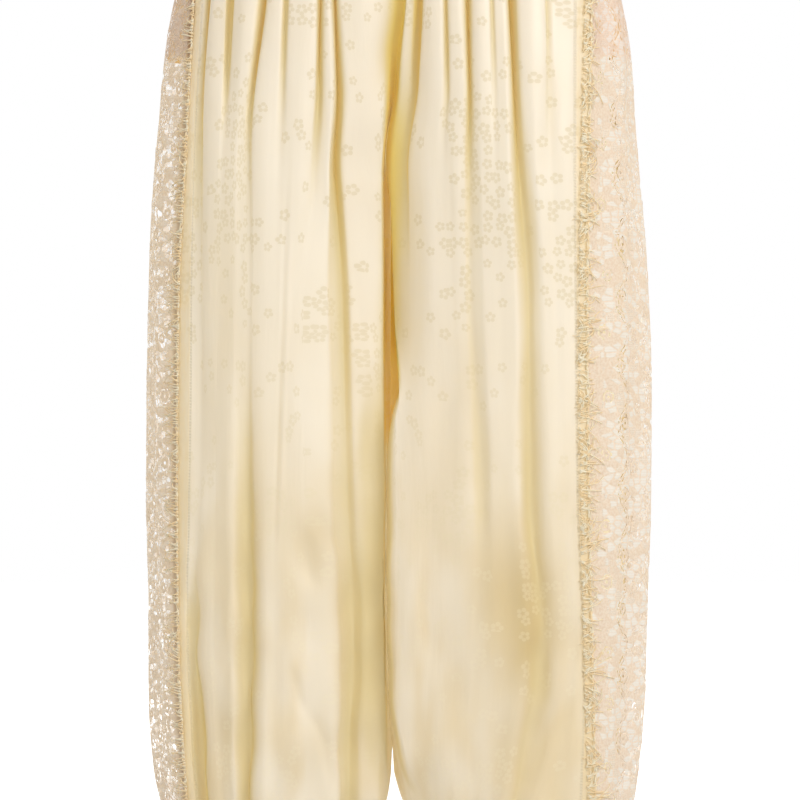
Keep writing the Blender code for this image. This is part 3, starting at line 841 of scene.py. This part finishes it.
# The lace down each side: one wide strip of floral lace that runs from the waistband to the
# cuff, between the front and the back. It is corded cotton net with closed flowers and leaves.
LACE_STEP = 1.42
LACE_WAVES = 5
LACE_WAVE = 2.5
LACE_WAVE_FROM = (40, 150)
HOLE_ACROSS = 10.0
HOLE_DOWN = 6.0
HOLE_SHARE = 0.30
HOLE_STRAY = (0.05, 0.95)
HOLE_PATCHES = (19, 13, 17)
CORD_HALF = 0.8
CORD_RISE = 0.45
HEM = 3.0
# How far in from each edge the strip stays closed, for its cut holes and for its fine net
CLOSED_BORDER = {"right": (7, 16), "left": (36, 62)}
NET_BORDER = {"right": (7, 16), "left": (12, 22)}
NET_LEAST = 0.12
NET_MORE = 0.5
NET_HOLE = {"right": 0.0040, "left": 0.0066}
NET_CLEAR = {"right": 0.55, "left": 0.08}
NET_OPEN = {"right": 0.62, "left": 1.05}
# The lace's two tones on each leg; the right leg's are painted darker, standing for the shade on that
# side
LACE_TONES = {
    "right": ((222, 199, 178), (238, 222, 206)),
    "left": ((234, 211, 192), (246, 232, 220)),
}
FINE_HOLE = 0.0020
NET_BAR = 0.0026
VINE_SWEEPS = (58, 67, 76)
VINE_HALF = 0.9
VINE_SWAY = 8
FLOWERS_ACROSS = 4
FLOWER_PITCH = 29.0
FLOWER_STRAY = (5, 6)
FLOWER_SIZES = (0.75, 1.15)
FLOWER_RADIUS = 5.4
FLOWER_HEART = 1.5
CUT_SHARES = (0.12, 0.88)
# The painted shadow under the fringe: its strength on each leg's lace, and how far in from the edge it
# fades
FRINGE_SHADOW = {"right": 1.0, "left": 0.0}
FRINGE_SHADOW_REACH = (4.0, 11.0)


def lace_points(side, down):
    """Points of a lace panel, from its front edge round the side to the back."""
    front, back = Leg(side, "front", down), Leg(side, "back", down)
    start = held_angle(side, "front", LACE_EDGES[side, "front"], down)
    end = math.tau - held_angle(side, "back", LACE_EDGES[side, "back"], down)
    width = (end - start).max() * (front.half + front.depth).mean() / 2
    share = np.linspace(0, 1, int(width / LACE_STEP) + 1)
    angle = start + (end - start) * share
    column = share * LACE_WAVES
    inside = ramp(column, 0, 1) * (1 - ramp(column, LACE_WAVES - 1, LACE_WAVES))
    wave = np.cos(math.pi * column + front.down / 150) * ramp(front.down, *LACE_WAVE_FROM)
    push = LACE_WAVE * wave * inside
    before = front.on_oval(np.minimum(angle, math.pi), push)
    behind = back.on_oval(np.minimum(math.tau - angle, math.pi), push)
    return np.where((angle <= math.pi)[..., None], before, behind)


def net_of(across, down, width, border, rng):
    """Lace as a field, above zero on its threads, and how open its fine net is from patch to patch."""
    rows, columns = int(down.max() / HOLE_DOWN) + 4, int(width / HOLE_ACROSS) + 4
    seeds = np.stack(np.meshgrid(np.arange(columns), np.arange(rows)), axis=-1) - 1.0
    seeds = seeds + rng.uniform(*HOLE_STRAY, seeds.shape)
    chance = rng.random(seeds.shape[:2])
    across_cells, down_cells = across / HOLE_ACROSS, down / HOLE_DOWN
    column = np.clip(across_cells.astype(int) + 1, 1, columns - 2)
    row = np.clip(down_cells.astype(int) + 1, 1, rows - 2)
    near = [(row + i, column + j) for i in (-1, 0, 1) for j in (-1, 0, 1)]
    spots = np.stack([seeds[at] for at in near])
    away = np.hypot(spots[..., 0] - across_cells, spots[..., 1] - down_cells)
    order = np.argsort(away, axis=0)[:2]
    first, second = np.take_along_axis(away, order, axis=0)
    pair = np.take_along_axis(spots, order[..., None], axis=0)
    apart = np.maximum(np.linalg.norm(pair[0] - pair[1], axis=-1), 0.05)
    edge = HOLE_DOWN * (second**2 - first**2) / (2 * apart)
    own = np.take_along_axis(np.stack([chance[at] for at in near]), order, axis=0)[0]
    open_zone = ramp(np.minimum(across, width - across), *border)
    tall, sway, wide = HOLE_PATCHES
    patch = 0.75 + 0.25 * np.sin(down / tall + 2 * np.sin(across / sway)) * np.cos(across / wide)
    is_open = own < HOLE_SHARE * open_zone**3 * patch
    return np.where(is_open, CORD_HALF - edge, CORD_HALF + edge), patch


def motifs_of(across, down, width, rng):
    """Flowers and vines of the lace as a field, and how far their cords are raised."""
    field = np.full_like(across, -9.0)
    raised = np.zeros_like(across)
    for k, sweep in enumerate(VINE_SWEEPS):
        middle = width * (k + 1) / (len(VINE_SWEEPS) + 1)
        wave = math.tau * down / sweep + 2 * k
        slope = np.hypot(1, VINE_SWAY * math.tau / sweep * np.cos(wave))
        off = np.abs(across - middle - VINE_SWAY * np.sin(wave)) / slope
        field = np.maximum(field, VINE_HALF - off)
        raised = np.maximum(raised, hill(off, VINE_HALF))
    for i, k in itertools.product(range(int(down.max() / FLOWER_PITCH) + 1), range(FLOWERS_ACROSS)):
        stray_across, stray_down = [rng.uniform(-stray, stray) for stray in FLOWER_STRAY]
        spot_across = width * (k + 0.5 + 0.5 * (i % 2)) / FLOWERS_ACROSS + stray_across
        spot_down = FLOWER_PITCH * (i + 0.5 + 0.24 * (k % 2)) + stray_down
        size, turn = rng.uniform(*FLOWER_SIZES), rng.uniform(0, math.tau)
        across_it, down_it = (across - spot_across) / size, (down - spot_down) / size
        radius, angle = np.hypot(across_it, down_it), np.arctan2(down_it, across_it) + turn
        rim = FLOWER_RADIUS * (0.82 + 0.18 * np.abs(np.cos(3 * angle))) - radius
        field = np.where(rim > 0, np.minimum(rim, radius - FLOWER_HEART), np.maximum(field, rim))
        raised = np.maximum(raised, hill(rim - 1.0, CORD_HALF))
    return field, raised


def cut_through(points, field, triangles):
    """The points and triangles of a cloth where its field is above zero."""
    inside = field > 0
    count = inside[triangles].sum(axis=1)
    mixed = triangles[(count == 1) | (count == 2)]
    alone = inside[mixed] == (inside[mixed].sum(axis=1) == 1)[:, None]
    turn = (alone.argmax(axis=1)[:, None] + np.arange(3)) % 3
    mixed = np.take_along_axis(mixed, turn, axis=1)
    pairs = np.sort(np.concatenate((mixed[:, [0, 1]], mixed[:, [0, 2]])), axis=1)
    pairs, place = np.unique(pairs, axis=0, return_inverse=True)
    share = field[pairs[:, 0]] / (field[pairs[:, 0]] - field[pairs[:, 1]])
    share = np.clip(share, *CUT_SHARES)[:, None]
    cuts = points[pairs[:, 0]] * (1 - share) + points[pairs[:, 1]] * share
    first, second = len(points) + place.reshape(2, -1)
    tip = inside[mixed[:, 0]]
    kept = (
        triangles[count == 3],
        np.stack((mixed[:, 0], first, second), axis=1)[tip],
        np.stack((first, mixed[:, 1], mixed[:, 2]), axis=1)[~tip],
        np.stack((first, mixed[:, 2], second), axis=1)[~tip],
    )
    used, faces = np.unique(np.concatenate(kept), return_inverse=True)
    return np.concatenate((points, cuts))[used], faces.reshape(-1, 3)


def lace(side):
    """Matt cotton lace, whose fine net is open or has painted light where its attribute says."""
    material, shade = new_finish(f"floral_lace_{side}")
    place = shade.node("ShaderNodeUVMap", {"uv_map": "flat"})
    net, fringe_shadow = carried(shade, "net"), carried(shade, "fringe_shadow")
    plane = {"voronoi_dimensions": "2D"}
    edges = {**plane, "feature": "DISTANCE_TO_EDGE"}
    wide = shade.node("ShaderNodeMapping", {}, {"Vector": place, "Scale": (0.62, 1.0, 1.0)})
    cells = {"Vector": wide, "Scale": 1 / NET_HOLE[side], "Randomness": 0.95}
    spot = shade.node("ShaderNodeTexVoronoi", plane, cells, "Color")
    chance = shade.node("ShaderNodeSeparateColor", {}, {0: spot})
    rim = shade.node("ShaderNodeTexVoronoi", edges, cells, "Distance")
    mesh_cells = {"Vector": place, "Scale": 1 / FINE_HOLE, "Randomness": 0.6}
    mesh = shade.node("ShaderNodeTexVoronoi", edges, mesh_cells, "Distance").step(0.10, 0.16)
    is_open = shade.maths("LESS_THAN", chance, NET_OPEN[side] * net)
    is_mesh = shade.maths("LESS_THAN", chance, 1.35 * net) - is_open
    inside = rim.step(0.05, 0.10)
    gaps = inside * (NET_CLEAR[side] * is_open + 0.12 * is_mesh * mesh)
    thread = noise(place, 420.0)
    tone = thread.step(0.3, 0.7).mix(*[colour(*tone) for tone in LACE_TONES[side]])
    bars = 0.84 + 0.16 * shade.maths("SINE", coordinate(place, "Y") * (math.tau / NET_BAR))
    # Painted light: the open net, and a little the fine mesh, painted near white for the light seen
    # through it
    pale = rim.step(0.03, 0.16) * bars * (is_open + 0.35 * is_mesh)
    tone = pale.mix(tone, colour(252, 254, 255))
    # Painted shadow under the fringe's threads, dark brown next to the satin's edge
    tone = fringe_shadow.mix(tone, colour(138, 98, 64))
    normal = bumps(0.5 * thread + rim.step(0.0, 0.2), 0.5, 0.0004)
    surface = {"Base Color": tone, "Roughness": 0.85, "Normal": normal, "Sheen Weight": 0.1}
    thin_cloth(shade, surface, 0.42, (0.97, 0.92, 0.87), gaps)
    return material


def make_lace(side, seed):
    """The lace strip of one side, with its gaps cut through."""
    rng = np.random.default_rng(seed)
    down = np.arange(WAISTBAND_HEIGHT - 1, CUFF_TOP + 1, LACE_STEP)
    points = lace_points(side, down)
    facing = -SIDES[side]
    flat = laid_flat(points)
    across, fall = flat[..., 0] / MM, flat[..., 1] / MM
    width = across.max()
    net, patch = net_of(across, fall, width, CLOSED_BORDER[side], rng)
    motif, raised = motifs_of(across, fall, width, rng)
    to_edge = np.minimum(across, width - across)
    field = np.maximum(net, HEM - to_edge)
    field = np.where(motif > 0, motif, np.maximum(field, motif))
    field = np.where((motif < 0) & (np.abs(motif) < FLOWER_HEART) & (raised < 0.05), motif, field)
    openness = (NET_LEAST + NET_MORE * ramp(to_edge, *NET_BORDER[side]) * patch) * (motif < 0)
    # Painted shadow under the fringe, strongest at the strip's edges
    fringe_shadow = FRINGE_SHADOW[side] * (1 - ramp(to_edge, *FRINGE_SHADOW_REACH))
    normals = normals_of(points, facing)
    points = points + (CORD_RISE * (ramp(field, 0, 1.1) + raised))[..., None] * normals
    a, b, c, d = np.moveaxis(grid_faces(*across.shape, 1).reshape(len(down) - 1, -1, 4), 2, 0)
    even = (np.indices(a.shape).sum(axis=0) % 2 == 0)[..., None]
    halves = (
        np.where(even, np.stack((a, b, c), -1), np.stack((a, b, d), -1)),
        np.where(even, np.stack((a, c, d), -1), np.stack((b, c, d), -1)),
    )
    triangles = np.concatenate([half.reshape(-1, 3) for half in halves])
    if facing < 0:
        triangles = triangles[:, ::-1]
    data = np.concatenate((points, flat, np.stack((openness, fringe_shadow), axis=-1)), axis=-1).reshape(-1, 7)
    data, triangles = cut_through(data, field.ravel(), triangles)
    values = {"net": data[:, 5], "fringe_shadow": data[:, 6]}
    name, places = f"lace_panel_{side}", data[:, 3:5]
    piece = cloth(name, f"lace_{side}", data[:, :3], triangles, places, lace(side), values)
    return points, normals


laces = {side: make_lace(side, 31 + number) for number, side in enumerate(SIDES)}

# The hip linings: a short piece of tan silk behind the top of each lace strip, sewn in at the
# waistband with the strip, and left loose below.
LINING_LENGTH = 240.0
LINING_DROP = 2.1


def lining():
    """Tan silk, semi-matt."""
    material, shade = new_finish("hip_lining")
    weave = noise(shade.node("ShaderNodeUVMap", {"uv_map": "flat"}), 600.0)
    tone = weave.mix(colour(236, 208, 166), colour(246, 222, 184))
    surface = {"Base Color": tone, "Roughness": 0.6, "Normal": bumps(weave, 0.3, 0.0003)}
    thin_cloth(shade, surface, 0.12, (0.70, 0.50, 0.28))
    return material


LINING = lining()
for side in SIDES:
    facing = -SIDES[side]
    down = np.linspace(WAISTBAND_HEIGHT - 1, LINING_LENGTH, 80)
    points = lace_points(side, down)[:, ::3]
    points = points - LINING_DROP * normals_of(points, facing)
    flat = laid_flat(points)
    name, faces = f"hip_lining_{side}", grid_faces(*points.shape[:2], facing)
    piece = cloth(name, f"lining_{side}", points, faces, flat, LINING)

# The frayed edges: each satin panel's raw edge lies on the lace and is pulled out into loose
# threads, which bunch and curl over it, with a rolled rim of yarn where they start.
THREAD_POINTS = 8
THREAD_SIDES = 4
THREAD_LIFT = (1.6, 1.0)
THREAD_TAPER = 0.45
THREAD_THICKNESS = (0.75, 1.25)
THREAD_ARCHES = (0.3, 1.2)
SHORTEST_THREAD = 0.3
ROOT_STRAY = 0.8
END_GAP = 3
# How far apart along the edge the threads lean, curl and grow long together, and how much each
# one differs
LEAN_WAVES = (17, 41, 8.3)
LEAN_SPREAD = 0.15
CURL_WAVES = (23, 11, 57)
CURL_SPREAD = 0.35
LENGTH_WAVES = (29, 61, 113)
LENGTH_SWAY = 0.4
RIM_STRANDS = 2
RIM_SIDES = 5
RIM_PACE = 1.5
RIM_OUT = 0.3
RIM_OUT_SWAY = 1.5
RIM_OUT_WAVES = (26, 11, 63)
RIM_LIFT = 1.0
RIM_LIFT_SWAY = 0.5
RIM_LIFT_WAVES = (9, 14)
RIM_HALF = 0.75
RIM_HALF_SWAY = 0.3
RIM_HALF_WAVES = (7, 19)
# How the threads lie: a straight comb on the right leg, and longer loose curls on the left, which
# start further in on the satin. A thread leans, curls, and stands off the lace by its arch.
Fray = namedtuple("Fray", "threads half start length spread lean curl arch")
FRAYS = {
    "right": Fray(430, 0.72, 2.0, 15.0, 0.30, 0.5, 0.7, 2.6),
    "left": Fray(640, 0.66, 9.0, 19.0, 0.20, 0.9, 3.0, 1.0),
}


def laid_on(points, normals, column, row, lift):
    """Places on a grid of cloth or before its first column, lifted off it."""
    column = np.minimum(column, points.shape[1] - 1.001)
    row = np.clip(row, 0, points.shape[0] - 1.001)
    j, i = np.maximum(column.astype(int), 0), row.astype(int)
    right, low = (column - j)[..., None], (row - i)[..., None]
    both = np.concatenate((points, normals), axis=-1)
    upper = both[i, j] * (1 - right) + both[i, j + 1] * right
    lower = both[i + 1, j] * (1 - right) + both[i + 1, j + 1] * right
    places, ups = np.split(upper * (1 - low) + lower * low, 2, axis=-1)
    return places + lift[..., None] * ups, ups


def tubes(paths, normals, half, sides, first=0):
    """Points and faces of closed tubes, one round each path. Faces count points from the first."""
    count, length = paths.shape[:2]
    forward = unit(np.gradient(paths, axis=1))
    beside = unit(np.cross(forward, normals))
    upward = np.cross(beside, forward)
    angle = np.arange(sides) * math.tau / sides
    round_it = np.cos(angle)[:, None] * beside[..., None, :]
    round_it += np.sin(angle)[:, None] * upward[..., None, :]
    points = paths[..., None, :] + half[..., None, None] * round_it
    index = first + np.arange(count * length * sides).reshape(count, length, sides)
    after = np.roll(index, -1, axis=2)
    walls = np.stack((index[:, :-1], after[:, :-1], after[:, 1:], index[:, 1:]), axis=-1)
    faces = walls.reshape(-1, 4).tolist() + index[:, 0, ::-1].tolist() + index[:, -1].tolist()
    return points.reshape(-1, 3), faces


def waves(place, rng, lengths):
    """A smooth random curve from -1 to 1."""
    curves = [np.sin(math.tau * place / length + rng.uniform(0, math.tau)) for length in lengths]
    return sum(curves) / len(lengths)


def fringe():
    """Loose silk threads."""
    material, shade = new_finish("frayed_silk")
    spot = shade.node("ShaderNodeTexCoord", {}, {}, "Object")
    patch = shade.node("ShaderNodeTexNoise", {}, {"Vector": spot, "Scale": 220.0, "Detail": 1.0})
    tone = patch.step(0.4, 0.6).mix(colour(255, 231, 187), colour(255, 245, 219))
    surface = {"Base Color": tone, "Roughness": 0.6, "Specular IOR Level": 0.25}
    thin_cloth(shade, surface, 0.16, (0.98, 0.91, 0.78))
    return material


FRINGE = fringe()


def make_fringe(side, face, seed):
    """The loose threads and rolled rim along one raw edge."""
    rng = np.random.default_rng(seed)
    strip, normals = laces[side]
    if face == "back":
        strip, normals = strip[:, ::-1], normals[:, ::-1]
    heights = -strip[:, 0, 2]
    step = np.linalg.norm(strip[:, 1] - strip[:, 0], axis=1)
    fray = FRAYS[side]
    root = np.linspace(heights[0] + END_GAP, heights[-1] - END_GAP, fray.threads)
    root += rng.uniform(-ROOT_STRAY, ROOT_STRAY, fray.threads)
    share = np.linspace(0, 1, THREAD_POINTS)
    lean = fray.lean * waves(root, rng, LEAN_WAVES) + rng.normal(0, LEAN_SPREAD, fray.threads)
    curl = fray.curl * waves(root, rng, CURL_WAVES) + rng.normal(0, CURL_SPREAD, fray.threads)
    length = 1 + LENGTH_SWAY * waves(root, rng, LENGTH_WAVES)
    length += rng.normal(0, fray.spread, fray.threads)
    turn = lean[:, None] + curl[:, None] * share
    pace = fray.length * np.maximum(length[:, None], SHORTEST_THREAD) / (THREAD_POINTS - 1)
    out = np.cumsum(np.cos(turn) * pace, axis=1) - pace - fray.start
    fall = root[:, None] + np.cumsum(np.sin(turn) * pace, axis=1)
    arch = fray.arch * rng.uniform(*THREAD_ARCHES, (fray.threads, 1)) * np.sin(math.pi * share)
    arch += np.linspace(*THREAD_LIFT, THREAD_POINTS)
    row = np.interp(fall, heights, np.arange(len(heights)))
    column = out / step[row.astype(int)]
    paths, ups = laid_on(strip, normals, column, row, arch)
    half = fray.half * (1 - THREAD_TAPER * share) * rng.uniform(*THREAD_THICKNESS, (fray.threads, 1))
    points, faces = tubes(paths, ups, half, THREAD_SIDES)
    rim_down = np.arange(heights[0], heights[-1], RIM_PACE)
    rim_row = np.interp(rim_down, heights, np.arange(len(heights)))
    for _ in range(RIM_STRANDS):
        rim_out = RIM_OUT + RIM_OUT_SWAY * waves(rim_down, rng, RIM_OUT_WAVES)
        rim_lift = RIM_LIFT + RIM_LIFT_SWAY * waves(rim_down, rng, RIM_LIFT_WAVES)
        rim, ups = laid_on(strip, normals, rim_out / step[rim_row.astype(int)], rim_row, rim_lift)
        rim_half = RIM_HALF * (1 + RIM_HALF_SWAY * waves(rim_down, rng, RIM_HALF_WAVES))
        more, more_faces = tubes(rim[None], ups[None], rim_half[None], RIM_SIDES, len(points))
        points, faces = np.concatenate((points, more)), faces + more_faces
    end = f"{face}_{side}"
    cloth(f"frayed_edge_{end}", f"fringe_{end}", points, faces, None, FRINGE)


for number, (face, side) in enumerate(itertools.product(TOWARD, SIDES)):
    make_fringe(side, face, 41 + number)

# The waistband and the two cuffs: tubes of the satin sewn round elastic, which draws them into
# small even gathers. Each is a closed ring, fuller in the middle than at its edges.
BAND_WALL = 3.0
BAND_WAVE = 1.7
BAND_ROWS = 14
GATHER_STEPS = 12
BAND_FULLNESS = 1.2
BAND_DRIFT = (0.9, 0.5)
BAND_EDGE_WAVE = 0.6
WAIST_GATHERS = 46
CUFF_GATHERS = 22


def make_band(name, node, middle, half, depth, top, bottom, gathers):
    """A gathered casing round elastic."""
    steps = gathers * GATHER_STEPS
    angle = np.linspace(0, math.tau, steps, endpoint=False)
    down = np.linspace(top, bottom, BAND_ROWS)
    down = np.concatenate((down, down[::-1]))[:, None]
    inner = (np.arange(2 * BAND_ROWS) >= BAND_ROWS)[:, None]
    full = np.sin(math.pi * (down - top) / (bottom - top)) ** 0.6
    drift = BAND_DRIFT[0] * np.sin(3 * angle + 1) + BAND_DRIFT[1] * np.sin(5 * angle + down / 9)
    ridges = 2 * np.abs(np.cos((gathers * angle + drift) / 2)) - 1
    wave = ridges * (BAND_EDGE_WAVE + (1 - BAND_EDGE_WAVE) * full) + 2 * full - 1
    push = np.where(inner, -BAND_WALL, BAND_WAVE * wave)
    x = middle + (half - BAND_WAVE + push) * np.cos(angle)
    y = (depth - BAND_WAVE + push) * np.sin(angle)
    points = np.stack((x, y, -down + 0 * x), axis=-1)
    index = np.arange(x.size).reshape(x.shape)
    below, beside = np.roll(index, -1, axis=0), np.roll(index, -1, axis=1)
    faces = np.stack((index, below, np.roll(below, -1, axis=1), beside), axis=-1).reshape(-1, 4)
    length = math.pi * (half + depth) * MM
    flat = np.stack(np.broadcast_arrays(angle / math.tau * length, down * MM), axis=-1)
    piece = cloth(name, node, points, faces, flat, SATIN)
    size = (round(length * BAND_FULLNESS, 3), round((bottom - top) * MM, 3))


half, depth = SECTIONS["right"][0], SECTIONS["front"][0]
make_band("gathered_waistband", "waistband", 0, half, depth, 0, WAISTBAND_HEIGHT, WAIST_GATHERS)
for side in SIDES:
    leg = Leg(side, "front", [CUFF_TOP])
    middle = float(leg.split[0, 0] + leg.sign * leg.centre[0, 0])
    half, depth = float(leg.half[0, 0]), float(leg.depth[0, 0])
    name, node = f"gathered_cuff_{side}", f"cuff_{side}"
    make_band(name, node, middle, half, depth, CUFF_TOP, LENGTH, CUFF_GATHERS)

# The studio: a plain white floor under the held-up garment, which throws no light up at it, a
# white surround that lights it less than it shows, and two soft lamps in front and one behind,
# the strongest on the right.
FLOOR_HALF = 9
FLOOR_TOP = -1.04
corners = [(x, y, FLOOR_TOP) for x, y in ((-1, -1), (1, -1), (1, 1), (-1, 1))]
floor_mesh = bpy.data.meshes.new("floor")
floor_mesh.from_pydata([(x * FLOOR_HALF, y * FLOOR_HALF, z) for x, y, z in corners], [], [range(4)])
floor = added("floor", floor_mesh)
floor_finish, shade = new_finish("pale_floor")
surface = {
    "Base Color": (0.86, 0.86, 0.85, 1.0),
    "Roughness": 0.9,
    "Emission Color": (1.0, 1.0, 1.0, 1.0),
    "Emission Strength": 0.40,
}
paper = shade.node("ShaderNodeBsdfPrincipled", {}, surface)
shade.node("ShaderNodeOutputMaterial", {}, {"Surface": paper})
floor_mesh.materials.append(floor_finish)
floor.visible_diffuse = False

SURROUND_LIGHT = 0.68
SURROUND_FALL = 0.22
world = bpy.data.worlds.new("white_surround")
world.use_nodes = True
shade = Shade(world.node_tree)
seen = shade.node("ShaderNodeLightPath", {}, {}, "Is Camera Ray")
toward = shade.node("ShaderNodeTexCoord", {}, {}, "Generated")
lighting = SURROUND_LIGHT + SURROUND_FALL * coordinate(toward, "Z")
strength = seen * (1 - lighting) + lighting
surround = world.node_tree.nodes["Background"]
surround.inputs["Color"].default_value = (1.0, 1.0, 1.0, 1.0)
world.node_tree.links.new(strength.socket, surround.inputs["Strength"])
bpy.context.scene.world = world
bpy.context.scene.view_settings.view_transform = "Standard"

Lamp = namedtuple("Lamp", "name place size power")
LAMPS = (
    Lamp("key", (2.5, -2.8, 1.2), 1.4, 66.0),
    Lamp("fill", (-1.4, -3.6, 0.6), 2.2, 7.0),
    Lamp("back", (-1.2, 3.2, 0.6), 2.2, 44.0),
)
AIM = (0.0, 0.0, -0.55)
for lamp in LAMPS:
    light = bpy.data.lights.new(lamp.name, "AREA")
    light.size = lamp.size
    light.energy = lamp.power
    stand = added(lamp.name, light)
    stand.location = lamp.place
    aim = np.array(AIM) - np.array(lamp.place)
    turn = math.atan2(aim[1], aim[0]) - math.pi / 2
    stand.rotation_euler = (math.atan2(math.hypot(aim[0], aim[1]), -aim[2]), 0, turn)

# The camera: level with the knees and straight in front, framed as the photograph is, from
# just below the waistband to just above the cuffs.
VIEW_MIDDLE = (0.0014, -0.5593)
VIEW_WIDTH = 0.752
VIEW_DISTANCE = 5.0
view = bpy.data.cameras.new("camera")
view.lens = view.sensor_width * VIEW_DISTANCE / VIEW_WIDTH
camera = added("camera", view)
camera.location = (VIEW_MIDDLE[0], -VIEW_DISTANCE, VIEW_MIDDLE[1])
camera.rotation_euler = (math.pi / 2, 0, 0)
bpy.context.scene.camera = camera
